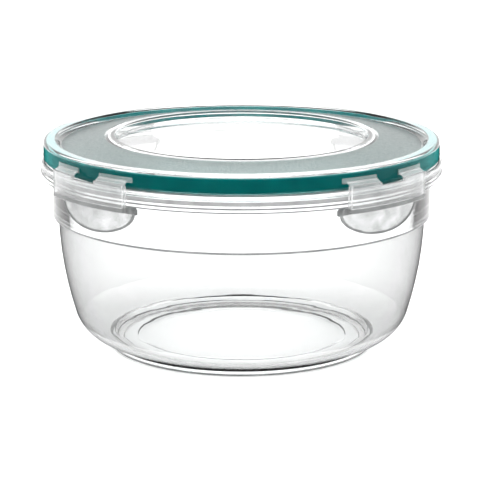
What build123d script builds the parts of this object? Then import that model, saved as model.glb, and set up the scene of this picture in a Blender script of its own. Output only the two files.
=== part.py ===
from build123d import *

import math
import os

# Round food box: a clear bowl, a clear lid with a rubber seal, and four latches on living hinges.
# The origin is on the axis, at the bottom of the foot ring. +Z is up and -Y is the front.
# Sizes are in millimetres and degrees. A corner of an outline is (radius, z, rounding).

# Driving sizes
WALL_RADIUS = 95.5
WALL = 2.0
COLLAR_RADIUS = 101.2
LID_RADIUS = 99.6
COLLAR_BOTTOM = 88.4
COLLAR_TOP = 96.4
RIM_TOP = 96.7
CORNER_ROUND = 0.4
EDGE_ROUND = 0.15
SOFT_ROUND = 1.0

# Bowl: foot, floor, and a wall of two arcs that meet at WALL_END_ANGLE below the horizontal
FOOT_RADIUS = 67.3
FOOT_INNER_RADIUS = 60.5
FOOT_ROUND = 1.2
FOOT_SHOULDER = 0.4
WELL_TOP_RADIUS = 64.6
WELL_RADIUS = 63.4
WELL_FLOOR = 3.2
WELL_ROUND = 2.0
WELL_TOP_ROUND = 1.6
WELL_UNDERSIDE = 1.2
SLOPE_RADIUS = 53.5
PANEL_RADIUS = 50.5
PANEL_TOP = 2.2
PANEL_UNDERSIDE = 0.5
STEP_Z = 67.5
STEP_RADIUS = 92.6
STEP_ROUND = 0.7
SIDE_TOP_Z = 66.0
SIDE_ARC_RADIUS = 180.0
SIDE_START_ANGLE = 1.5
WALL_END_ANGLE = 17.0
CORNER_ARC_RADIUS = 19.6
FOOT_JOIN_ANGLE = 85.0

# Inside, the wall leans in from LEAN_TOP down to the side's arc, so the step shows only outside
LEAN_TOP = 90.0
LEAN_ROUND = 60.0

# Collar round the mouth: a skirt that hangs from a web, with a lip below and a groove round its outside
COLLAR_WALL = 1.8
COLLAR_WEB = 2.2
LIP_TOP = 90.9
BAND_SETBACK = 0.4
GROOVE_BOTTOM = 91.9
GROOVE_TOP = 93.8
GROOVE_DEPTH = 0.5

# Lid
LID_WALL = 1.7
SKIRT_BOTTOM = 96.9
CHANNEL_TOP = 104.4
CROWN_TOP = 106.0
CROWN_INNER_RADIUS = 93.7
BAND_OUTER = (91.0, 103.0)
BAND_INNER = (68.8, 106.8)
BEAD_TOP = 107.5
BEAD_OUTER_RADIUS = 66.8
BEAD_INNER_RADIUS = 64.0
WINDOW_RADIUS = 62.0
WINDOW_TOP = 104.3
BEAD_UNDERSIDE_RADIUS = 65.5
WINDOW_UNDERSIDE_RADIUS = 63.5
CROWN_ROUND = 1.9
PLUG_INNER_RADIUS = 91.2
PLUG_BOTTOM = 93.5
PLUG_TAPER_BOTTOM = 97.1
PLUG_TAPER_TOP = 97.6
FIT_GAP = 0.4

# Seal, in the channel between the lid's plug and skirt
CHANNEL_INNER_RADIUS = 93.6
SEAL_BOTTOM = 97.1
LIP_NOTCH = 1.0

# Latches: the azimuth of each, from +X
LATCHES = {
    "front_left": 225.0,
    "front_right": 315.0,
    "rear_right": 45.0,
    "rear_left": 135.0,
}
PLATE_HALF_ANGLE = 14.4
PLATE_RADIUS = 104.3
PLATE_WALL = 1.7
PLATE_TOP = 99.3
PLATE_BOTTOM = 86.0
RIB_GAP = 0.6
RIB_ANGLE = 0.8
RIB_SLOPE = 1.0
MERGE = 0.5
CUT_MARGIN = 1.0
SLOT_HALF_ANGLE = 4.4
SLOT_BOTTOM = 97.7
HOOK_TOP = COLLAR_BOTTOM - 0.3
HOOK_INNER_RADIUS = 96.4
SHELF_RADIUS = 100.8
SHELF_UNDERSIDE = 85.1
SHELF_HALF_ANGLE = 16.0
SHELF_CORNER_ROUND = 1.5
TAB_WALL = 1.6
TAB_TOP = 84.4
TAB_BOTTOM = 72.6
TAB_HALF_WIDTH = 25.6

# Living hinges: a lug on the lid's skirt, and a film from it down to the plate's top
LUG_HALF_ANGLE = 15.7
LUG_RADIUS = LID_RADIUS + 0.8
LUG_BOTTOM = 99.8
LUG_TOP = 102.4
FILM_TOP = 101.0
FILM_BOTTOM_RADIUS = 102.9
FILM_WIDTH = 0.7


def outline(corners):
    """A closed line through (radius, z, rounding) corners."""
    points = [(radius, z) for radius, z, _ in corners]
    return FilletPolyline(*points, radius=[rounding for _, _, rounding in corners], close=True)


def rounded_line(start, corners, end):
    """An open line from start to end through (radius, z, rounding) corners."""
    points = [start, *[(radius, z) for radius, z, _ in corners], end]
    return FilletPolyline(*points, radius=[rounding for _, _, rounding in corners])


def turned(line, first=0.0, last=360.0):
    """The solid that a closed line sweeps about Z, from one azimuth to another."""
    face = Plane.XZ * make_face(line)
    return Rot(0, 0, first) * revolve(face, Axis.Z, last - first)


def arc(centre, radius, start, end):
    """An arc about centre, between two angles below the horizontal."""
    ways = [math.radians(angle) for angle in (start, (start + end) / 2, end)]
    points = [centre + Vector(math.cos(way), -math.sin(way)) * radius for way in ways]
    return ThreePointArc(*points)


def below(angle, length):
    """A vector of the given length, at an angle below the horizontal."""
    return Vector(math.cos(math.radians(angle)), -math.sin(math.radians(angle))) * length


def wall_arcs(inset, end_angle):
    """The bowl's side and lower bend, moved in from the outer surface by inset."""
    side_centre = Vector(STEP_RADIUS, SIDE_TOP_Z) - below(SIDE_START_ANGLE, SIDE_ARC_RADIUS)
    bend_centre = side_centre + below(WALL_END_ANGLE, SIDE_ARC_RADIUS - CORNER_ARC_RADIUS)
    side = arc(side_centre, SIDE_ARC_RADIUS - inset, SIDE_START_ANGLE, WALL_END_ANGLE)
    bend = arc(bend_centre, CORNER_ARC_RADIUS - inset, WALL_END_ANGLE, end_angle)
    return side, bend


def make_bowl():
    """One wall turned round the axis: foot, sunk floor, side, step, collar and rim."""
    outer_side, outer_bend = wall_arcs(0, FOOT_JOIN_ANGLE)
    inner_side, inner_bend = wall_arcs(WALL, 90)
    inner_radius = WALL_RADIUS - WALL
    collar_inner = COLLAR_RADIUS - COLLAR_WALL
    web_underside = COLLAR_TOP - COLLAR_WEB
    band_radius = COLLAR_RADIUS - BAND_SETBACK
    groove_radius = band_radius - GROOVE_DEPTH
    upper = rounded_line(outer_side @ 0, [
        (STEP_RADIUS, STEP_Z, EDGE_ROUND),
        (WALL_RADIUS, STEP_Z, STEP_ROUND),
        (WALL_RADIUS, web_underside, CORNER_ROUND),
        (collar_inner, web_underside, CORNER_ROUND),
        (collar_inner, COLLAR_BOTTOM, CORNER_ROUND),
        (COLLAR_RADIUS, COLLAR_BOTTOM, CORNER_ROUND),
        (COLLAR_RADIUS, LIP_TOP, EDGE_ROUND),
        (band_radius, LIP_TOP, 0),
        (band_radius, GROOVE_BOTTOM, EDGE_ROUND),
        (groove_radius, GROOVE_BOTTOM, EDGE_ROUND),
        (groove_radius, GROOVE_TOP, EDGE_ROUND),
        (band_radius, GROOVE_TOP, EDGE_ROUND),
        (band_radius, COLLAR_TOP, CORNER_ROUND),
        (WALL_RADIUS, COLLAR_TOP, 0),
        (WALL_RADIUS, RIM_TOP, EDGE_ROUND),
        (inner_radius, RIM_TOP, CORNER_ROUND),
        (inner_radius, LEAN_TOP, LEAN_ROUND),
    ], inner_side @ 0)
    foot_start = outer_bend @ 1
    floor_end = inner_bend @ 1
    lower = rounded_line(foot_start, [
        (FOOT_RADIUS, foot_start.Y - FOOT_SHOULDER, EDGE_ROUND),
        (FOOT_RADIUS, 0, FOOT_ROUND),
        (FOOT_INNER_RADIUS, 0, CORNER_ROUND),
        (FOOT_INNER_RADIUS, WELL_UNDERSIDE, CORNER_ROUND),
        (SLOPE_RADIUS, WELL_UNDERSIDE, CORNER_ROUND),
        (PANEL_RADIUS, PANEL_UNDERSIDE, CORNER_ROUND),
        (0, PANEL_UNDERSIDE, 0),
        (0, PANEL_TOP, 0),
        (PANEL_RADIUS, PANEL_TOP, SOFT_ROUND),
        (SLOPE_RADIUS, WELL_FLOOR, SOFT_ROUND),
        (WELL_RADIUS, WELL_FLOOR, WELL_ROUND),
        (WELL_TOP_RADIUS, floor_end.Y, WELL_TOP_ROUND),
    ], floor_end)
    return turned(outer_side + outer_bend + lower + inner_bend + inner_side + upper)


def hinge_spans(half_angle):
    """The two spans of azimuth beside a latch's slot, about the latch's own centre."""
    return [(-half_angle, -SLOT_HALF_ANGLE), (SLOT_HALF_ANGLE, half_angle)]


def make_lid():
    """Crown, skirt and plug round a sloped band, a bead and a sunk window, with lugs for the latches."""
    plug_radius = WALL_RADIUS - WALL - FIT_GAP
    skirt_inner = LID_RADIUS - LID_WALL
    lid = turned(outline([
        (0, WINDOW_TOP, 0),
        (WINDOW_RADIUS, WINDOW_TOP, SOFT_ROUND),
        (BEAD_INNER_RADIUS, BEAD_TOP, SOFT_ROUND),
        (BEAD_OUTER_RADIUS, BEAD_TOP, CROWN_ROUND),
        (*BAND_INNER, SOFT_ROUND),
        (*BAND_OUTER, SOFT_ROUND),
        (CROWN_INNER_RADIUS, CROWN_TOP, SOFT_ROUND),
        (LID_RADIUS, CROWN_TOP, CROWN_ROUND),
        (LID_RADIUS, SKIRT_BOTTOM, CORNER_ROUND),
        (skirt_inner, SKIRT_BOTTOM, CORNER_ROUND),
        (skirt_inner, CHANNEL_TOP, 0),
        (CHANNEL_INNER_RADIUS, CHANNEL_TOP, 0),
        (CHANNEL_INNER_RADIUS, PLUG_TAPER_TOP, 0),
        (plug_radius, PLUG_TAPER_BOTTOM, 0),
        (plug_radius, PLUG_BOTTOM, CORNER_ROUND),
        (PLUG_INNER_RADIUS, PLUG_BOTTOM, CORNER_ROUND),
        (PLUG_INNER_RADIUS, BAND_OUTER[1] - LID_WALL, SOFT_ROUND),
        (BAND_INNER[0], BAND_INNER[1] - LID_WALL, SOFT_ROUND),
        (BEAD_UNDERSIDE_RADIUS, BEAD_TOP - LID_WALL, SOFT_ROUND),
        (WINDOW_UNDERSIDE_RADIUS, WINDOW_TOP - LID_WALL, SOFT_ROUND),
        (0, WINDOW_TOP - LID_WALL, 0),
    ]))
    lug_root = LID_RADIUS - LID_WALL / 2
    lug = outline([
        (lug_root, LUG_BOTTOM, 0),
        (LUG_RADIUS, LUG_BOTTOM, 0),
        (LUG_RADIUS, LUG_TOP, EDGE_ROUND),
        (lug_root, LUG_TOP, 0),
    ])
    for azimuth in LATCHES.values():
        for first, last in hinge_spans(LUG_HALF_ANGLE):
            lid += turned(lug, azimuth + first, azimuth + last)
    return lid


def make_seal():
    """A ring that fills the lid's channel, notched inside so that one lip meets the bowl's rim."""
    outer_radius = LID_RADIUS - LID_WALL
    return turned(outline([
        (CHANNEL_INNER_RADIUS, CHANNEL_TOP, 0),
        (outer_radius, CHANNEL_TOP, 0),
        (outer_radius, SEAL_BOTTOM + LIP_NOTCH, CORNER_ROUND),
        (outer_radius - LIP_NOTCH, SEAL_BOTTOM, CORNER_ROUND),
        (CHANNEL_INNER_RADIUS + LIP_NOTCH, SEAL_BOTTOM, CORNER_ROUND),
        (CHANNEL_INNER_RADIUS, SEAL_BOTTOM + LIP_NOTCH, CORNER_ROUND),
    ]))


def make_latch():
    """A latch centred on +X: a plate outside the collar, a hook under it, and a half-round finger tab.

    The hook's shelf and the tab run a little past the plate's ends.
    """
    plate_inner = PLATE_RADIUS - PLATE_WALL
    rib_inner = COLLAR_RADIUS + RIB_GAP
    tab_radius = HOOK_INNER_RADIUS + TAB_WALL
    half = PLATE_HALF_ANGLE
    latch = turned(outline([
        (plate_inner, PLATE_TOP, 0),
        (PLATE_RADIUS, PLATE_TOP, CORNER_ROUND),
        (PLATE_RADIUS, PLATE_BOTTOM, SOFT_ROUND),
        (tab_radius, TAB_TOP, 0),
        (HOOK_INNER_RADIUS, TAB_TOP, 0),
        (HOOK_INNER_RADIUS, HOOK_TOP, CORNER_ROUND),
        (plate_inner, HOOK_TOP, 0),
    ]), -half, half)
    shelf = turned(outline([
        (HOOK_INNER_RADIUS, TAB_TOP, 0),
        (tab_radius, TAB_TOP, 0),
        (SHELF_RADIUS, SHELF_UNDERSIDE, 0),
        (SHELF_RADIUS, HOOK_TOP, 0),
        (HOOK_INNER_RADIUS, HOOK_TOP, CORNER_ROUND),
    ]), -SHELF_HALF_ANGLE, SHELF_HALF_ANGLE)
    outer_corners = shelf.edges().filter_by(Axis.Z).sort_by(Axis.Z)[-2:]
    latch += fillet(outer_corners, SHELF_CORNER_ROUND)
    rib = outline([
        (rib_inner, HOOK_TOP - MERGE, 0),
        (plate_inner + MERGE, HOOK_TOP - MERGE, 0),
        (plate_inner + MERGE, PLATE_TOP, 0),
        (rib_inner, PLATE_TOP - RIB_SLOPE, 0),
    ])
    latch += turned(rib, -half, RIB_ANGLE - half)
    latch += turned(rib, half - RIB_ANGLE, half)
    tab_band = turned(outline([
        (HOOK_INNER_RADIUS, TAB_BOTTOM - CUT_MARGIN, 0),
        (tab_radius, TAB_BOTTOM - CUT_MARGIN, 0),
        (tab_radius, TAB_TOP + MERGE, 0),
        (HOOK_INNER_RADIUS, TAB_TOP + MERGE, 0),
    ]), -SHELF_HALF_ANGLE, SHELF_HALF_ANGLE)
    facing_out = Plane(origin=(0, 0, TAB_TOP), x_dir=(0, 1, 0), z_dir=(1, 0, 0))
    half_round = Ellipse(TAB_HALF_WIDTH, TAB_TOP - TAB_BOTTOM)
    latch += tab_band & extrude(facing_out * half_round, PLATE_RADIUS)
    slot = outline([
        (rib_inner, SLOT_BOTTOM, 0),
        (PLATE_RADIUS + CUT_MARGIN, SLOT_BOTTOM, 0),
        (PLATE_RADIUS + CUT_MARGIN, PLATE_TOP + CUT_MARGIN, 0),
        (rib_inner, PLATE_TOP + CUT_MARGIN, 0),
    ])
    return latch - turned(slot, -SLOT_HALF_ANGLE, SLOT_HALF_ANGLE)


def make_film(first, last):
    """A thin film from a lug's outer face down to the top of a plate."""
    film = outline([
        (LUG_RADIUS, FILM_TOP - FILM_WIDTH, 0),
        (LUG_RADIUS, FILM_TOP, 0),
        (FILM_BOTTOM_RADIUS + FILM_WIDTH / 2, PLATE_TOP, 0),
        (FILM_BOTTOM_RADIUS - FILM_WIDTH / 2, PLATE_TOP, 0),
    ])
    return turned(film, first, last)


def main():
    latch = make_latch()
    films = dict(zip(("left", "right"), [make_film(*span) for span in hinge_spans(PLATE_HALF_ANGLE)]))
    nodes = {"bowl": make_bowl(), "lid": make_lid(), "seal": make_seal()}
    for place, azimuth in LATCHES.items():
        nodes[f"latch_{place}"] = Rot(0, 0, azimuth) * latch
        for side, film in films.items():
            nodes[f"hinge_film_{place}_{side}"] = Rot(0, 0, azimuth) * film
    os.makedirs("parts", exist_ok=True)
    for name, solid in nodes.items():
        export_step(solid, f"parts/{name}.step")


main()
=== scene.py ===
import math

import bmesh
import bpy
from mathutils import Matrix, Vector


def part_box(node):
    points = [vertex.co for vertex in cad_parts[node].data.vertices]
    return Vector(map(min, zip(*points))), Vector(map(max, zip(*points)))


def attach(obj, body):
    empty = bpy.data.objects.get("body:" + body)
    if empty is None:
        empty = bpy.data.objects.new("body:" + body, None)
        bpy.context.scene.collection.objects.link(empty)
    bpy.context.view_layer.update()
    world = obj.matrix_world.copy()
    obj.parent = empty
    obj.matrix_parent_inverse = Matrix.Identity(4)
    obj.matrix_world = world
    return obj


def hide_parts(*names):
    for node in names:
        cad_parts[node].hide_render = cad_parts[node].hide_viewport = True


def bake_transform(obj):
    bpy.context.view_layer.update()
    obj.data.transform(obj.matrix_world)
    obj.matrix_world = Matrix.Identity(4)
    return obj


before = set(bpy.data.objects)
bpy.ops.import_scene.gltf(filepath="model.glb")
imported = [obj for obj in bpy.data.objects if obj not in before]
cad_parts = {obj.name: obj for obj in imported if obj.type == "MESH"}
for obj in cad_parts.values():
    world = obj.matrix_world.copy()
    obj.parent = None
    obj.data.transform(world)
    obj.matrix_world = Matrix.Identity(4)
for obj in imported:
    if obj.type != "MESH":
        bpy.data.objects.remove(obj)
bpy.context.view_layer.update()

# Round food box: a clear bowl and lid, a teal seal, and four milky latches on living hinges.
# Sizes are in millimetres and degrees, and turn into metres when a mesh is made. -Y is the front.
# A corner of an outline is (radius, height, rounding).

MM = 0.001
BODY = "shut_box"
LATCHES = {"front_left": 225.0, "front_right": 315.0, "rear_right": 45.0, "rear_left": 135.0}


def box_mm(node):
    """The lowest and highest corners of a CAD node at rest, in millimetres."""
    return [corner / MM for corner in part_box(node)]


BOWL_LOW, BOWL_HIGH = box_mm("bowl")
LID_LOW, LID_HIGH = box_mm("lid")
SEAL_LOW, SEAL_HIGH = box_mm("seal")
LATCH_LOW, LATCH_HIGH = box_mm("latch_front_left")

# How finely curves are divided
RING_STEPS = 288
CORNER_STEPS = 5
ARC_STEP = 3.0
PLATE_STEP = 0.5
PAD_STEP = 0.4
TAB_STEP = 0.3
SIDE_GAP = 0.05
ANGLE_DIGITS = 4
LONGEST_RUN = 3.0

# How edges are rounded, and the angle from which one is left sharp
EDGE_ROUND = 0.15
CORNER_ROUND = 0.4
SOFT_ROUND = 1.0
CORNER_SHARE = 0.48
CREASE_ANGLE = 32.0

# Bowl
WALL = 2.0
WALL_RADIUS = 95.5
FOOT_RADIUS = 67.3
FOOT_INNER_RADIUS = 60.5
FOOT_ROUND = 1.2
FOOT_SHOULDER = 0.4
WELL_TOP_RADIUS = 64.6
WELL_RADIUS = 63.4
WELL_FLOOR = 3.2
WELL_ROUND = 2.0
WELL_TOP_ROUND = 1.6
WELL_UNDERSIDE = 1.2
SLOPE_RADIUS = 53.5
PANEL_RADIUS = 50.5
PANEL_TOP = 2.2
PANEL_UNDERSIDE = 0.5
STEP_Z = 67.5
STEP_RADIUS = 92.6
STEP_ROUND = 0.7
SIDE_TOP_Z = 66.0
LEAN_TOP = 90.0
LEAN_ROUND = 60.0
SIDE_ARC_RADIUS = 180.0
SIDE_START_ANGLE = 1.5
WALL_END_ANGLE = 17.0
BEND_RADIUS = 19.6
FOOT_JOIN_ANGLE = 85.0
STRAIGHT_DOWN = 90

# Collar round the bowl's mouth
RIM_TOP = BOWL_HIGH.z
COLLAR_RADIUS = min(BOWL_HIGH.x, BOWL_HIGH.y, -BOWL_LOW.x, -BOWL_LOW.y)
COLLAR_TOP = RIM_TOP - 0.3
COLLAR_BOTTOM = RIM_TOP - 8.3
COLLAR_WALL = 1.8
COLLAR_WEB = 2.2
LIP_TOP = RIM_TOP - 5.8
BAND_RADIUS = COLLAR_RADIUS - 0.4
GROOVE_RADIUS = COLLAR_RADIUS - 0.9
GROOVE_BOTTOM = RIM_TOP - 4.8
GROOVE_TOP = RIM_TOP - 2.9

# Lid
LID_WALL = 1.7
LID_RADIUS = LID_HIGH.x
BEAD_TOP = LID_HIGH.z
CROWN_TOP = BEAD_TOP - 1.5
SKIRT_BOTTOM = SEAL_LOW.z - 0.2
CROWN_INNER_RADIUS = 93.7
CROWN_ROUND = 1.9
BAND_OUTER = (91.0, 103.0)
BAND_INNER = (68.8, 106.8)
BAND_MARGIN = 0.8
BEAD_OUTER_RADIUS = 66.8
BEAD_INNER_RADIUS = 64.0
BEAD_UNDERSIDE_RADIUS = 65.5
WINDOW_RADIUS = 62.0
WINDOW_TOP = 104.3
WINDOW_UNDERSIDE_RADIUS = 63.5
PLUG_RADIUS = 93.1
PLUG_INNER_RADIUS = 91.2
PLUG_BOTTOM = LID_LOW.z
PLUG_TAPER_BOTTOM = 97.1
PLUG_TAPER_TOP = 97.6

# Seal, a hair smaller than its channel so that no two faces lie on each other
CHANNEL_INNER_RADIUS = 93.6
CHANNEL_TOP = SEAL_HIGH.z
SEAL_GAP = 0.05
LIP_NOTCH = 1.0

# Latches
PLATE_HALF_ANGLE = 14.4
PLATE_RADIUS = 104.3
PLATE_INNER_RADIUS = 102.6
PLATE_TOP = LATCH_HIGH.z
PLATE_BOTTOM = 86.0
PLATE_END_ROUND = 0.8
SLOT_HALF_ANGLE = 4.4
SLOT_DEPTH = 1.6
RIB_RADIUS = 101.8
RIB_ANGLE = 0.8
RIB_SLOPE = 1.0
HOOK_TOP = 88.1
HOOK_INNER_RADIUS = 96.4
SHELF_RADIUS = 100.8
SHELF_UNDERSIDE = 85.1
SHELF_HALF_ANGLE = 16.0
SHELF_END_ROUND = 1.5
SHELF_DROOP = 1.6
TAB_RADIUS = 97.7
TAB_TOP = 84.4
TAB_BOTTOM = LATCH_LOW.z
TAB_HALF_WIDTH = 25.6
TAB_RIM = 0.3
TAB_RIM_WIDTH = 1.5
TAB_ROWS = 22
LEAST_DIVISOR = 0.01
OVERLAP = 0.02

# Living hinges: a pad on the lid's skirt, and a film from it to the top of a plate
PAD_HALF_ANGLE = 15.7
PAD_RADIUS = LID_RADIUS + 0.8
PAD_BOTTOM = 99.8
PAD_TOP = 102.4
PAD_SINK = 0.1
PAD_FADE = 1.2
PAD_END_SHARE = 0.2
FILM_TOP = 101.0
FILM_WIDTH = 0.7
FILM_END_RADIUS = 102.9
FILM_BOW = 0.05
FILM_ROWS = 8
FILM_WAIST = 0.35

# Studio: SKY is (height on the unit sphere, share of the soft box's light)
SOFT_BOX_LIGHT = 3.9
SKY = ((0.0, 0.38), (0.36, 0.38), (0.5, 0.24), (0.80, 0.24), (0.90, 1.0))
FLOOR_REACH = 3000.0
FLOOR_WHITE = 0.985
FLOOR_ROUGHNESS = 0.9
CAMERA_AZIMUTH = 1.4
CAMERA_ELEVATION = 13.5
CAMERA_DISTANCE = 1100.0
CAMERA_TARGET = Vector((0, 0, 52.0))
CAMERA_LENS = 161.9
CAMERA_SENSOR = 36
CAMERA_SHIFT = -0.0033

# Where a face's place or slope decides its material
# Heights and widths of the bands painted grey as shade: along the bowl's edges and step, on the hook's
# band and along the tab's rim
EDGE_SHADE_HEIGHT = 0.7
STEP_SHADE_HEIGHT = 1.1
SIDE_FOOT = 14.0
LEVEL_NORMAL = 0.5
HOOK_SHADE_TOP = 88.1
TAB_SHADE_WIDTH = 1.1

# Which of its piece's materials a face takes
PLAIN = 0
SIDE, EDGE, GROOVE, BEND = 1, 2, 3, 4
FROST, OVER_SEAL = 1, 2
SHADE_BAND, TAB_FACE = 1, 2

# How noise spreads a material's colour and roughness
COLOUR_SPAN = (0.32, 0.68)
COLOUR_DETAIL = 5.0
ROUGHNESS_SPAN = (0.3, 0.7)
ROUGHNESS_DETAIL = 3.0

# Plastics
PLASTIC_IOR = 1.5
CLEAR_SHADES = ((0.975, 0.982, 0.982), (0.995, 0.998, 0.998))
CLEAR_SHINE = 0.4
SKIRT_SHINE = 0.08
MILKY_LIGHT_PASSED = 0.9
# A coat whose tint is painted shade, darker the more aslant it is seen
SHADE_COAT = {"Coat_Weight": 1.0, "Coat_Roughness": 0.03, "Coat_IOR": 1.001}


# Outlines

def turned_corner(before, here, after, rounding):
    """Points on the arc that rounds a corner, as large as half of its shorter run allows."""
    back = before - here
    ahead = after - here
    half = back.angle(ahead) / 2
    reach = min(rounding / math.tan(half), CORNER_SHARE * back.length, CORNER_SHARE * ahead.length)
    first = here + back.normalized() * reach
    last = here + ahead.normalized() * reach
    points = []
    for step in range(CORNER_STEPS + 1):
        share = step / CORNER_STEPS
        points.append(first.lerp(here, share).lerp(here.lerp(last, share), share))
    return points


def rounded(corners, closed=True):
    """The line through (radius, height, rounding) corners, as points."""
    points = [Vector(corner[:2]) for corner in corners]
    line = []
    for index, corner in enumerate(corners):
        end_of_line = not closed and index in (0, len(corners) - 1)
        if corner[2] == 0 or end_of_line:
            line.append(points[index])
        else:
            following = points[(index + 1) % len(points)]
            line += turned_corner(points[index - 1], points[index], following, corner[2])
    return line


def below(angle, length):
    """A vector of the given length, at an angle below the horizontal."""
    return Vector((math.cos(math.radians(angle)), -math.sin(math.radians(angle)))) * length


def arc(centre, radius, start, end):
    """Points on an arc about centre, between two angles below the horizontal."""
    steps = math.ceil(abs(end - start) / ARC_STEP)
    return [centre + below(start + (end - start) * step / steps, radius) for step in range(steps + 1)]


def divided(line):
    """The closed line with its long runs divided, so that its faces are of a similar size."""
    points = []
    for here, after in zip(line, line[1:] + line[:1]):
        along_axis = here.x == 0 and after.x == 0
        parts = 1 if along_axis else max(1, math.ceil((after - here).length / LONGEST_RUN))
        points += [here.lerp(after, part / parts) for part in range(parts)]
    return points


# Meshes

def new_object(name, vertices, faces):
    """A smooth mesh from points in millimetres, with every face of a closed shape looking out."""
    mesh = bpy.data.meshes.new(name)
    mesh.from_pydata([Vector(vertex) * MM for vertex in vertices], [], faces)
    shape = bmesh.new()
    shape.from_mesh(mesh)
    bmesh.ops.recalc_face_normals(shape, faces=shape.faces)
    shape.to_mesh(mesh)
    shape.free()
    mesh.shade_smooth()
    mesh.set_sharp_from_angle(angle=math.radians(CREASE_ANGLE))
    piece = bpy.data.objects.new(name, mesh)
    bpy.context.scene.collection.objects.link(piece)
    return piece


def around(point, angle):
    """A (radius, height) point at an azimuth."""
    return (point.x * math.cos(math.radians(angle)), point.x * math.sin(math.radians(angle)), point.y)


def lathe(name, line):
    """A closed outline turned all the way round, with one vertex where it meets the axis."""
    vertices = []
    rings = []
    for point in divided(line):
        count = 1 if point.x == 0 else RING_STEPS
        rings.append(range(len(vertices), len(vertices) + count))
        vertices += [around(point, 360 * step / RING_STEPS) for step in range(count)]
    faces = []
    for ring, following in zip(rings, rings[1:] + rings[:1]):
        for step in range(RING_STEPS):
            ahead = (step + 1) % RING_STEPS
            corners = [ring[step % len(ring)], following[step % len(following)],
                       following[ahead % len(following)], ring[ahead % len(ring)]]
            corners = list(dict.fromkeys(corners))
            if len(corners) > 2:
                faces.append(corners)
    return new_object(name, vertices, faces)


def lofted(name, section, angles, centre):
    """The closed outlines section(angle) at the azimuths about centre, joined, with both ends filled."""
    vertices = []
    for angle in angles:
        vertices += [around(point, centre + angle) for point in section(angle)]
    count = len(vertices) // len(angles)
    faces = []
    for turn in range(len(angles) - 1):
        for index in range(count):
            here = turn * count + index
            beside = turn * count + (index + 1) % count
            faces.append((here, beside, beside + count, here + count))
    faces.append(tuple(range(count)))
    faces.append(tuple(range(len(vertices) - count, len(vertices))))
    return new_object(name, vertices, faces)


def spread(first, last, step, end_round=0.0, extra=()):
    """Azimuths from first to last, closer together over end_round millimetres at both ends."""
    ends = []
    for share in range(CORNER_STEPS + 1):
        depth = end_round * (1 - math.cos(math.radians(90 * share / CORNER_STEPS)))
        ends.append(math.degrees(depth / PLATE_RADIUS))
    middle_first, middle_last = first + ends[-1], last - ends[-1]
    steps = math.ceil((middle_last - middle_first) / step)
    middle = [middle_first + (middle_last - middle_first) * index / steps for index in range(steps + 1)]
    angles = [first + end for end in ends] + middle + [last - end for end in ends] + list(extra)
    return sorted({round(angle, ANGLE_DIGITS) for angle in angles})


def end_drop(angle, half_angle, end_round):
    """How far a face falls back at an azimuth, where the plan's corner is rounded."""
    depth = math.radians(half_angle - abs(angle)) * PLATE_RADIUS
    if depth >= end_round:
        return 0.0
    return end_round - math.sqrt(max(0.0, end_round ** 2 - (end_round - depth) ** 2))


# Materials

def set_material(name, roughness, bump, colours, **sockets):
    """A Principled material whose colour, roughness and relief come from noise in the piece's own space.

    roughness is (scale, low, high), bump is (scale, detail, strength, distance),
    and colours is (scale, dark, light).
    """
    material = bpy.data.materials.new(name)
    material.use_nodes = True
    tree = material.node_tree
    shader = tree.nodes["Principled BSDF"]
    for socket, value in sockets.items():
        shader.inputs[socket.replace("_", " ")].default_value = value

    ramp = tree.nodes.new("ShaderNodeValToRGB")
    for element, position, colour in zip(ramp.color_ramp.elements, COLOUR_SPAN, colours[1:]):
        element.position = position
        element.color = (*colour, 1)
    tree.links.new(noise(tree, colours[0], COLOUR_DETAIL), ramp.inputs["Fac"])
    tree.links.new(ramp.outputs["Color"], shader.inputs["Base Color"])

    spread_range = tree.nodes.new("ShaderNodeMapRange")
    ends = (*ROUGHNESS_SPAN, *roughness[1:])
    for socket, value in zip(("From Min", "From Max", "To Min", "To Max"), ends):
        spread_range.inputs[socket].default_value = value
    tree.links.new(noise(tree, roughness[0], ROUGHNESS_DETAIL), spread_range.inputs["Value"])
    tree.links.new(spread_range.outputs["Result"], shader.inputs["Roughness"])

    scale, detail, strength, distance = bump
    relief = tree.nodes.new("ShaderNodeBump")
    relief.inputs["Strength"].default_value = strength
    relief.inputs["Distance"].default_value = distance * MM
    tree.links.new(noise(tree, scale, detail), relief.inputs["Height"])
    tree.links.new(relief.outputs["Normal"], shader.inputs["Normal"])
    return material


def noise(tree, scale, detail):
    """Noise in the piece's own coordinates, so that it rides with the piece."""
    coordinates = tree.nodes.new("ShaderNodeTexCoord")
    texture = tree.nodes.new("ShaderNodeTexNoise")
    texture.inputs["Scale"].default_value = scale
    texture.inputs["Detail"].default_value = detail
    tree.links.new(coordinates.outputs["Object"], texture.inputs["Vector"])
    return texture.outputs["Fac"]


def let_light_through(material, share):
    """Lamp light crosses the plastic, so that the floor under a clear box isn't left dark."""
    tree = material.node_tree
    output = tree.nodes["Material Output"]
    path = tree.nodes.new("ShaderNodeLightPath")
    passing = tree.nodes.new("ShaderNodeBsdfTransparent")
    passing.inputs["Color"].default_value = (share, share, share, 1)
    mix = tree.nodes.new("ShaderNodeMixShader")
    tree.links.new(path.outputs["Is Shadow Ray"], mix.inputs["Fac"])
    tree.links.new(tree.nodes["Principled BSDF"].outputs["BSDF"], mix.inputs[1])
    tree.links.new(passing.outputs["BSDF"], mix.inputs[2])
    tree.links.new(mix.outputs["Shader"], output.inputs["Surface"])
    return material


def clear_plastic(name, shine, **sockets):
    """Polished and nearly colourless, with the faint waviness of a moulding."""
    material = set_material(
        name, roughness=(60, 0.0, 0.03), bump=(22, 1, 0.05, 0.5), colours=(18, *CLEAR_SHADES),
        IOR=PLASTIC_IOR, Transmission_Weight=1.0, Specular_Tint=(shine, shine, shine, 1), **sockets)
    return let_light_through(material, 1.0)


def shade_coated_plastic(name, shine, tint):
    """Clear, with a tinted coat that takes up more light the more aslant the light crosses it: painted
    shade that darkens what it covers towards its edges.
    """
    return clear_plastic(name, shine, **SHADE_COAT, Coat_Tint=(*tint, 1))


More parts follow.
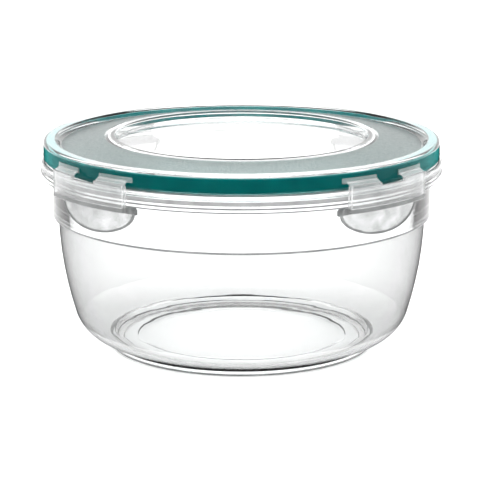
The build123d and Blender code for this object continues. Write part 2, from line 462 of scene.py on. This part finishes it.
def frosted_shaded_plastic():
    """The fine grain that is moulded into the lid's sloped band, in a dark teal-grey that is painted
    shade tinted with the seal's teal.
    """
    return set_material(
        "frosted_shaded_plastic", roughness=(400, 0.28, 0.36), bump=(2400, 2, 0.6, 0.06),
        colours=(1400, (0.07, 0.145, 0.145), (0.30, 0.385, 0.37)),
        IOR=PLASTIC_IOR, Transmission_Weight=0.95, Specular_Tint=(0.5, 0.5, 0.5, 1))


def teal_silicone():
    """Matt rubber with a faint skin."""
    return set_material(
        "teal_silicone", roughness=(260, 0.42, 0.58), bump=(900, 2, 0.12, 0.1),
        colours=(70, (0.0, 0.172, 0.180), (0.0, 0.255, 0.250)),
        IOR=1.42, Specular_Tint=(0.0, 0.4, 0.4, 1))


def milky_plastic(name, transmission, dark, light):
    """Unpigmented polypropylene: see-through, but cloudy, with soft flow marks. With dark colours it
    also makes the grey of painted shade.
    """
    material = set_material(
        name, roughness=(200, 0.10, 0.24), bump=(160, 3, 0.16, 0.4), colours=(110, dark, light),
        IOR=1.49, Transmission_Weight=transmission, Specular_Tint=(0.7, 0.7, 0.7, 1))
    return let_light_through(material, MILKY_LIGHT_PASSED)


CLEAR = clear_plastic("clear_plastic", CLEAR_SHINE)
# Painted shade: tinted coats that darken the lid's skirt, tinting it teal, and the bowl's side and bend
# the more aslant they are seen
SKIRT = shade_coated_plastic("skirt_plastic", SKIRT_SHINE, (0.60, 0.80, 0.795))
WALL_SHADE_COAT = shade_coated_plastic("wall_shade_coat", CLEAR_SHINE, (0.82, 0.82, 0.82))
THIN_SHADE_COAT = shade_coated_plastic("thin_wall_shade_coat", CLEAR_SHINE, (0.92, 0.92, 0.92))
# Painted shade: dark grey for the lines along the bowl's lip, collar, step and foot
EDGE_SHADE_PAINT = milky_plastic("edge_painted_shade", 0.15, (0.12, 0.125, 0.125), (0.20, 0.205, 0.205))
# Painted shade: grey for the collar's groove
GROOVE_SHADE_PAINT = milky_plastic("groove_painted_shade", 0.3, (0.18, 0.185, 0.185), (0.28, 0.285, 0.285))
FROSTED_AND_SHADED = frosted_shaded_plastic()
TEAL = teal_silicone()
MILKY = milky_plastic("milky_plastic", 0.88, (0.68, 0.69, 0.69), (0.86, 0.865, 0.865))
TAB = milky_plastic("tab_plastic", 0.88, (0.40, 0.405, 0.405), (0.74, 0.745, 0.745))
# Painted shade: dark grey for the latch's hook band and the tab's rim
LATCH_SHADE_PAINT = milky_plastic("latch_painted_shade", 0.15, (0.12, 0.125, 0.125), (0.19, 0.195, 0.195))
PAD = milky_plastic("pad_plastic", 0.84, (0.66, 0.70, 0.69), (0.82, 0.85, 0.84))
FILM = milky_plastic("film_plastic", 0.86, (0.70, 0.72, 0.71), (0.84, 0.86, 0.86))


def finish(piece, node, slot, *materials, rule=None):
    """Gives a piece its materials and hides the CAD node that it stands for.

    rule(face centre in millimetres, normal) picks a face's material, if there are several.
    """
    for material in materials:
        piece.data.materials.append(material)
    if rule:
        for face in piece.data.polygons:
            face.material_index = rule(face.center / MM, face.normal)
    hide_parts(node)
    return piece


# Bowl

def wall_arcs(inset, end_angle):
    """The bowl's side and lower bend, moved in from the outer surface by inset, as one line."""
    side_centre = Vector((STEP_RADIUS, SIDE_TOP_Z)) - below(SIDE_START_ANGLE, SIDE_ARC_RADIUS)
    bend_centre = side_centre + below(WALL_END_ANGLE, SIDE_ARC_RADIUS - BEND_RADIUS)
    side = arc(side_centre, SIDE_ARC_RADIUS - inset, SIDE_START_ANGLE, WALL_END_ANGLE)
    bend = arc(bend_centre, BEND_RADIUS - inset, WALL_END_ANGLE, end_angle)
    return side + bend[1:]


def bowl_material(centre, normal):
    """Painted shade: grey coats on the side and, paler, on its lower bend that darken them the more
    aslant they are seen, and dark grey where edges and the groove show as lines.
    """
    if centre.xy.dot(normal.xy) < 0 and normal.z > -LEVEL_NORMAL:
        return PLAIN
    radius = centre.xy.length
    # The groove's faces are painted grey as shade
    if radius > GROOVE_RADIUS - EDGE_ROUND and GROOVE_BOTTOM < centre.z < GROOVE_TOP:
        return GROOVE
    # Bands painted dark grey as shade along the lip, the collar's bottom edge, the step and the foot
    edges = [
        (WALL_RADIUS - STEP_ROUND, LIP_TOP - EDGE_SHADE_HEIGHT, LIP_TOP),
        (COLLAR_RADIUS - CORNER_ROUND, COLLAR_BOTTOM, COLLAR_BOTTOM + EDGE_SHADE_HEIGHT),
        (WALL_RADIUS - STEP_ROUND, STEP_Z - EDGE_ROUND, STEP_Z + STEP_SHADE_HEIGHT),
        (FOOT_RADIUS - FOOT_ROUND, -EDGE_ROUND, FOOT_ROUND),
    ]
    for nearest, low, high in edges:
        if radius > nearest and low < centre.z < high:
            return EDGE
    if radius < FOOT_RADIUS or centre.z > STEP_Z:
        return PLAIN
    # The side and the bend take coats of painted shade of two strengths
    return SIDE if SIDE_FOOT < centre.z else BEND


def make_bowl():
    outer = wall_arcs(0, FOOT_JOIN_ANGLE)
    inner = wall_arcs(WALL, STRAIGHT_DOWN)
    inner_radius = WALL_RADIUS - WALL
    collar_inner = COLLAR_RADIUS - COLLAR_WALL
    web_underside = COLLAR_TOP - COLLAR_WEB
    lower = rounded([
        (*outer[-1], 0),
        (FOOT_RADIUS, outer[-1].y - FOOT_SHOULDER, CORNER_ROUND),
        (FOOT_RADIUS, 0, FOOT_ROUND),
        (FOOT_INNER_RADIUS, 0, CORNER_ROUND),
        (FOOT_INNER_RADIUS, WELL_UNDERSIDE, CORNER_ROUND),
        (SLOPE_RADIUS, WELL_UNDERSIDE, CORNER_ROUND),
        (PANEL_RADIUS, PANEL_UNDERSIDE, CORNER_ROUND),
        (0, PANEL_UNDERSIDE, 0),
        (0, PANEL_TOP, 0),
        (PANEL_RADIUS, PANEL_TOP, SOFT_ROUND),
        (SLOPE_RADIUS, WELL_FLOOR, SOFT_ROUND),
        (WELL_RADIUS, WELL_FLOOR, WELL_ROUND),
        (WELL_TOP_RADIUS, inner[-1].y, WELL_TOP_ROUND),
        (*inner[-1], 0),
    ], closed=False)
    upper = rounded([
        (*inner[0], 0),
        (inner_radius, LEAN_TOP, LEAN_ROUND),
        (inner_radius, RIM_TOP, CORNER_ROUND),
        (WALL_RADIUS, RIM_TOP, EDGE_ROUND),
        (WALL_RADIUS, COLLAR_TOP, 0),
        (BAND_RADIUS, COLLAR_TOP, CORNER_ROUND),
        (BAND_RADIUS, GROOVE_TOP, EDGE_ROUND),
        (GROOVE_RADIUS, GROOVE_TOP, EDGE_ROUND),
        (GROOVE_RADIUS, GROOVE_BOTTOM, EDGE_ROUND),
        (BAND_RADIUS, GROOVE_BOTTOM, EDGE_ROUND),
        (BAND_RADIUS, LIP_TOP, 0),
        (COLLAR_RADIUS, LIP_TOP, EDGE_ROUND),
        (COLLAR_RADIUS, LIP_TOP - EDGE_SHADE_HEIGHT, 0),
        (COLLAR_RADIUS, COLLAR_BOTTOM + EDGE_SHADE_HEIGHT, 0),
        (COLLAR_RADIUS, COLLAR_BOTTOM, CORNER_ROUND),
        (collar_inner, COLLAR_BOTTOM, CORNER_ROUND),
        (collar_inner, web_underside, CORNER_ROUND),
        (WALL_RADIUS, web_underside, CORNER_ROUND),
        (WALL_RADIUS, STEP_Z + STEP_SHADE_HEIGHT, 0),
        (WALL_RADIUS, STEP_Z, STEP_ROUND),
        (STEP_RADIUS, STEP_Z, EDGE_ROUND),
        (*outer[0], 0),
    ], closed=False)
    bowl = lathe("bowl_shell", lower[:-1] + inner[::-1] + upper[1:] + outer[1:-1])
    finish(bowl, "bowl", "bowl_plastic", CLEAR, WALL_SHADE_COAT, EDGE_SHADE_PAINT, GROOVE_SHADE_PAINT, THIN_SHADE_COAT,
           rule=bowl_material)
    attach(bowl, BODY)


# Lid and seal

def lid_material(centre, normal):
    """The frosted band on top, and the skirt that the seal shows through."""
    radius = centre.xy.length
    first, last = BAND_INNER[0] + BAND_MARGIN, BAND_OUTER[0] - BAND_MARGIN
    if normal.z > LEVEL_NORMAL and first < radius < last:
        return FROST
    return OVER_SEAL if radius > SEAL_HIGH.x - EDGE_ROUND and centre.z < CHANNEL_TOP else PLAIN


def make_lid():
    lid = lathe("lid_shell", rounded([
        (0, WINDOW_TOP, 0),
        (WINDOW_RADIUS, WINDOW_TOP, SOFT_ROUND),
        (BEAD_INNER_RADIUS, BEAD_TOP, SOFT_ROUND),
        (BEAD_OUTER_RADIUS, BEAD_TOP, CROWN_ROUND),
        (*BAND_INNER, SOFT_ROUND),
        (*BAND_OUTER, SOFT_ROUND),
        (CROWN_INNER_RADIUS, CROWN_TOP, SOFT_ROUND),
        (LID_RADIUS, CROWN_TOP, CROWN_ROUND),
        (LID_RADIUS, SKIRT_BOTTOM, CORNER_ROUND),
        (SEAL_HIGH.x, SKIRT_BOTTOM, CORNER_ROUND),
        (SEAL_HIGH.x, CHANNEL_TOP, EDGE_ROUND),
        (CHANNEL_INNER_RADIUS, CHANNEL_TOP, EDGE_ROUND),
        (CHANNEL_INNER_RADIUS, PLUG_TAPER_TOP, EDGE_ROUND),
        (PLUG_RADIUS, PLUG_TAPER_BOTTOM, EDGE_ROUND),
        (PLUG_RADIUS, PLUG_BOTTOM, CORNER_ROUND),
        (PLUG_INNER_RADIUS, PLUG_BOTTOM, CORNER_ROUND),
        (PLUG_INNER_RADIUS, BAND_OUTER[1] - LID_WALL, SOFT_ROUND),
        (BAND_INNER[0], BAND_INNER[1] - LID_WALL, SOFT_ROUND),
        (BEAD_UNDERSIDE_RADIUS, BEAD_TOP - LID_WALL, SOFT_ROUND),
        (WINDOW_UNDERSIDE_RADIUS, WINDOW_TOP - LID_WALL, SOFT_ROUND),
        (0, WINDOW_TOP - LID_WALL, 0),
    ]))
    finish(lid, "lid", "lid_plastic", CLEAR, FROSTED_AND_SHADED, SKIRT, rule=lid_material)
    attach(lid, BODY)


def make_seal():
    inner = CHANNEL_INNER_RADIUS + SEAL_GAP
    outer = SEAL_HIGH.x - SEAL_GAP
    top = CHANNEL_TOP - SEAL_GAP
    bottom = SEAL_LOW.z
    seal = lathe("seal_ring", rounded([
        (inner, top, CORNER_ROUND),
        (outer, top, CORNER_ROUND),
        (outer, bottom + LIP_NOTCH, CORNER_ROUND),
        (outer - LIP_NOTCH, bottom, CORNER_ROUND),
        (inner + LIP_NOTCH, bottom, CORNER_ROUND),
        (inner, bottom + LIP_NOTCH, CORNER_ROUND),
    ]))
    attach(finish(seal, "seal", "seal_rubber", TEAL), BODY)


# Latches

def plate_section(angle):
    """The plate and the ledge under it, at an azimuth from the latch's centre."""
    in_slot = abs(angle) < SLOT_HALF_ANGLE
    in_rib = abs(angle) > PLATE_HALF_ANGLE - RIB_ANGLE
    top = PLATE_TOP - SLOT_DEPTH if in_slot else PLATE_TOP
    inner = RIB_RADIUS if in_rib else PLATE_INNER_RADIUS
    slope = RIB_SLOPE if in_rib else CORNER_ROUND
    outer = PLATE_RADIUS - end_drop(angle, PLATE_HALF_ANGLE, PLATE_END_ROUND)
    ledge_root = (SHELF_RADIUS + HOOK_INNER_RADIUS) / 2
    return rounded([
        (PLATE_INNER_RADIUS + EDGE_ROUND, top, EDGE_ROUND),
        (outer, top, CORNER_ROUND),
        # Row where the band of painted shade on the plate's outer face ends
        (outer, HOOK_SHADE_TOP, 0),
        (outer, PLATE_BOTTOM, SOFT_ROUND),
        (SHELF_RADIUS, SHELF_UNDERSIDE, 0),
        (ledge_root, SHELF_UNDERSIDE, 0),
        (ledge_root, HOOK_TOP, 0),
        (inner, HOOK_TOP, EDGE_ROUND),
        (inner, top - slope, EDGE_ROUND),
    ])


def from_tab_edge(across, height):
    """How far a point of the finger tab is from the tab's half-round edge, roughly."""
    along, down = across / TAB_HALF_WIDTH, (TAB_TOP - height) / (TAB_TOP - TAB_BOTTOM)
    reach = max(math.hypot(along, down), LEAST_DIVISOR)
    steepness = math.hypot(along / TAB_HALF_WIDTH, down / (TAB_TOP - TAB_BOTTOM)) / reach
    return max(0.0, (1 - reach) / max(steepness, LEAST_DIVISOR))


def tab_section(angle):
    """The shelf that hooks under the collar and the finger tab below it, thicker along the tab's rim."""
    across = math.radians(angle) * HOOK_INNER_RADIUS
    depth = TAB_TOP - TAB_BOTTOM
    share = max(0.0, 1 - (across / TAB_HALF_WIDTH) ** 2)
    lower_edge = min(TAB_TOP - depth * math.sqrt(share), TAB_TOP - CORNER_ROUND)
    shelf = SHELF_RADIUS - end_drop(angle, SHELF_HALF_ANGLE, SHELF_END_ROUND)
    beyond = max(0.0, abs(angle) - PLATE_HALF_ANGLE) / (SHELF_HALF_ANGLE - PLATE_HALF_ANGLE)
    top = HOOK_TOP - OVERLAP - SHELF_DROOP * beyond ** 2
    face = []
    for row in range(TAB_ROWS + 1):
        height = TAB_TOP + (lower_edge - TAB_TOP) * row / TAB_ROWS
        rise = max(0.0, 1 - from_tab_edge(across, height) / TAB_RIM_WIDTH)
        face.append((TAB_RADIUS + TAB_RIM * math.sin(rise * math.pi / 2) ** 2, height, 0))
    return rounded([
        (HOOK_INNER_RADIUS, top, CORNER_ROUND),
        (shelf, top, EDGE_ROUND),
        (shelf, SHELF_UNDERSIDE + OVERLAP, EDGE_ROUND),
        *face[:-1],
        (face[-1][0], lower_edge - OVERLAP, EDGE_ROUND),
        (HOOK_INNER_RADIUS, lower_edge - OVERLAP, EDGE_ROUND),
    ])


def join(piece, other):
    """piece and other as one closed shape."""
    union = piece.modifiers.new("union", "BOOLEAN")
    union.operation = "UNION"
    union.solver = "EXACT"
    union.object = other
    bpy.context.view_layer.update()
    whole = bpy.data.meshes.new_from_object(piece.evaluated_get(bpy.context.evaluated_depsgraph_get()))
    piece.modifiers.clear()
    piece.data = whole
    whole.shade_smooth()
    whole.set_sharp_from_angle(angle=math.radians(CREASE_ANGLE))
    bpy.data.objects.remove(other)
    return piece


def both_sides(angle):
    """Azimuths just before and just after a change of section, on both sides of a latch."""
    return [side * angle + gap for side in (-1, 1) for gap in (-SIDE_GAP, SIDE_GAP)]


def latch_material(centre):
    """The rule for a latch at an azimuth: its hook's band and its tab's edge are painted dark grey as
    shade, so that they show as grey lines.
    """
    def rule(middle, normal):
        if middle.z > TAB_TOP - EDGE_ROUND:
            outside = middle.xy.length > HOOK_INNER_RADIUS + CORNER_ROUND
            return SHADE_BAND if middle.z < HOOK_SHADE_TOP and outside else PLAIN
        turn = math.degrees(math.atan2(middle.y, middle.x)) - centre
        across = math.radians((turn + 180) % 360 - 180) * HOOK_INNER_RADIUS
        return SHADE_BAND if from_tab_edge(across, middle.z) < TAB_SHADE_WIDTH else TAB_FACE
    return rule


def make_latch(place, centre):
    changes = both_sides(SLOT_HALF_ANGLE) + both_sides(PLATE_HALF_ANGLE - RIB_ANGLE)
    plate_angles = spread(-PLATE_HALF_ANGLE, PLATE_HALF_ANGLE, PLATE_STEP, PLATE_END_ROUND, changes)
    tab_angles = spread(-SHELF_HALF_ANGLE, SHELF_HALF_ANGLE, TAB_STEP, SHELF_END_ROUND)
    latch = lofted(f"latch_{place}_clip", plate_section, plate_angles, centre)
    latch = join(latch, lofted("tab", tab_section, tab_angles, centre))
    finish(latch, f"latch_{place}", "latch_plastic", MILKY, LATCH_SHADE_PAINT, TAB,
           rule=latch_material(centre))
    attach(latch, f"latch_{place}")


# Living hinges

def pad_section(first, last):
    """The outline of a pad on the skirt, which fades out at the end that is away from the slot."""
    def section(angle):
        far_end = max(first, last, key=abs)
        from_end = math.radians(abs(far_end - angle)) * PAD_RADIUS
        fade = min(1.0, PAD_END_SHARE + (1 - PAD_END_SHARE) * from_end / PAD_FADE)
        outer = LID_RADIUS + (PAD_RADIUS - LID_RADIUS) * fade
        return rounded([
            (LID_RADIUS - PAD_SINK, PAD_BOTTOM, 0),
            (outer, PAD_BOTTOM, CORNER_ROUND),
            (outer, PAD_TOP, CORNER_ROUND),
            (LID_RADIUS - PAD_SINK, PAD_TOP, 0),
        ])
    return section


def film_section(angle):
    """A thin strip from a pad's outer face to a plate's top, bowed and narrower between them."""
    upper = []
    lower = []
    for row in range(FILM_ROWS + 1):
        share = row / FILM_ROWS
        bow = math.sin(math.pi * share)
        radius = PAD_RADIUS + (FILM_END_RADIUS - PAD_RADIUS) * share
        middle = FILM_TOP - FILM_WIDTH / 2 + (PLATE_TOP - FILM_TOP + FILM_WIDTH / 2) * share
        middle += FILM_BOW * bow
        half = FILM_WIDTH / 2 * (1 - FILM_WAIST * bow)
        upper.append(Vector((radius, middle + half * (1 - share))))
        lower.append(Vector((radius - half * share, middle - half * (1 - share))))
    upper[-1] = Vector((FILM_END_RADIUS + FILM_WIDTH / 2, PLATE_TOP))
    return upper + lower[::-1]


def make_hinge(place, centre):
    for side, sign in (("left", -1), ("right", 1)):
        near = sign * SLOT_HALF_ANGLE
        far_pad = sign * PAD_HALF_ANGLE
        far_film = sign * PLATE_HALF_ANGLE
        pad_angles = spread(*sorted((near, far_pad)), PAD_STEP, PAD_FADE)
        pad = lofted(f"hinge_pad_{place}_{side}", pad_section(near, far_pad), pad_angles, centre)
        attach(finish(pad, "lid", "lid_plastic", PAD), BODY)
        film_angles = spread(*sorted((near, far_film)), PLATE_STEP)
        film = lofted(f"hinge_strip_{place}_{side}", film_section, film_angles, centre)
        finish(film, f"hinge_film_{place}_{side}", "film_plastic", FILM)
        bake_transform(film)


# Studio

def make_floor():
    square = ((-1, -1), (1, -1), (1, 1), (-1, 1))
    corners = [(x * FLOOR_REACH, y * FLOOR_REACH, 0) for x, y in square]
    floor = new_object("floor", corners, [(0, 1, 2, 3)])
    material = bpy.data.materials.new("floor_white")
    material.use_nodes = True
    shader = material.node_tree.nodes["Principled BSDF"]
    shader.inputs["Base Color"].default_value = (FLOOR_WHITE, FLOOR_WHITE, FLOOR_WHITE, 1)
    shader.inputs["Roughness"].default_value = FLOOR_ROUGHNESS
    floor.data.materials.append(material)


def make_world():
    """Soft light: white round the horizon, darker above it, and a bright soft box overhead."""
    world = bpy.data.worlds.new("studio")
    world.use_nodes = True
    bpy.context.scene.world = world
    tree = world.node_tree
    coordinates = tree.nodes.new("ShaderNodeTexCoord")
    parts = tree.nodes.new("ShaderNodeSeparateXYZ")
    ramp = tree.nodes.new("ShaderNodeValToRGB")
    while len(ramp.color_ramp.elements) < len(SKY):
        ramp.color_ramp.elements.new(1.0)
    for element, (height, light) in zip(ramp.color_ramp.elements, SKY):
        element.position = height
        element.color = (light, light, light, 1)
    background = tree.nodes["Background"]
    background.inputs["Strength"].default_value = SOFT_BOX_LIGHT
    tree.links.new(coordinates.outputs["Generated"], parts.inputs["Vector"])
    tree.links.new(parts.outputs["Z"], ramp.inputs["Fac"])
    tree.links.new(ramp.outputs["Color"], background.inputs["Color"])
    bpy.context.scene.view_settings.view_transform = "Standard"


def make_camera():
    azimuth, elevation = math.radians(CAMERA_AZIMUTH), math.radians(CAMERA_ELEVATION)
    away = Vector((math.sin(azimuth) * math.cos(elevation), -math.cos(azimuth) * math.cos(elevation),
                   math.sin(elevation)))
    data = bpy.data.cameras.new("camera")
    data.lens = CAMERA_LENS
    data.sensor_width = CAMERA_SENSOR
    data.shift_x = CAMERA_SHIFT
    camera = bpy.data.objects.new("camera", data)
    bpy.context.scene.collection.objects.link(camera)
    camera.location = (CAMERA_TARGET + away * CAMERA_DISTANCE) * MM
    camera.rotation_euler = (-away).to_track_quat("-Z", "Y").to_euler()
    bpy.context.scene.camera = camera


make_camera()
make_world()
make_floor()
make_bowl()
make_lid()
make_seal()
for latch_place, latch_centre in LATCHES.items():
    make_latch(latch_place, latch_centre)
    make_hinge(latch_place, latch_centre)
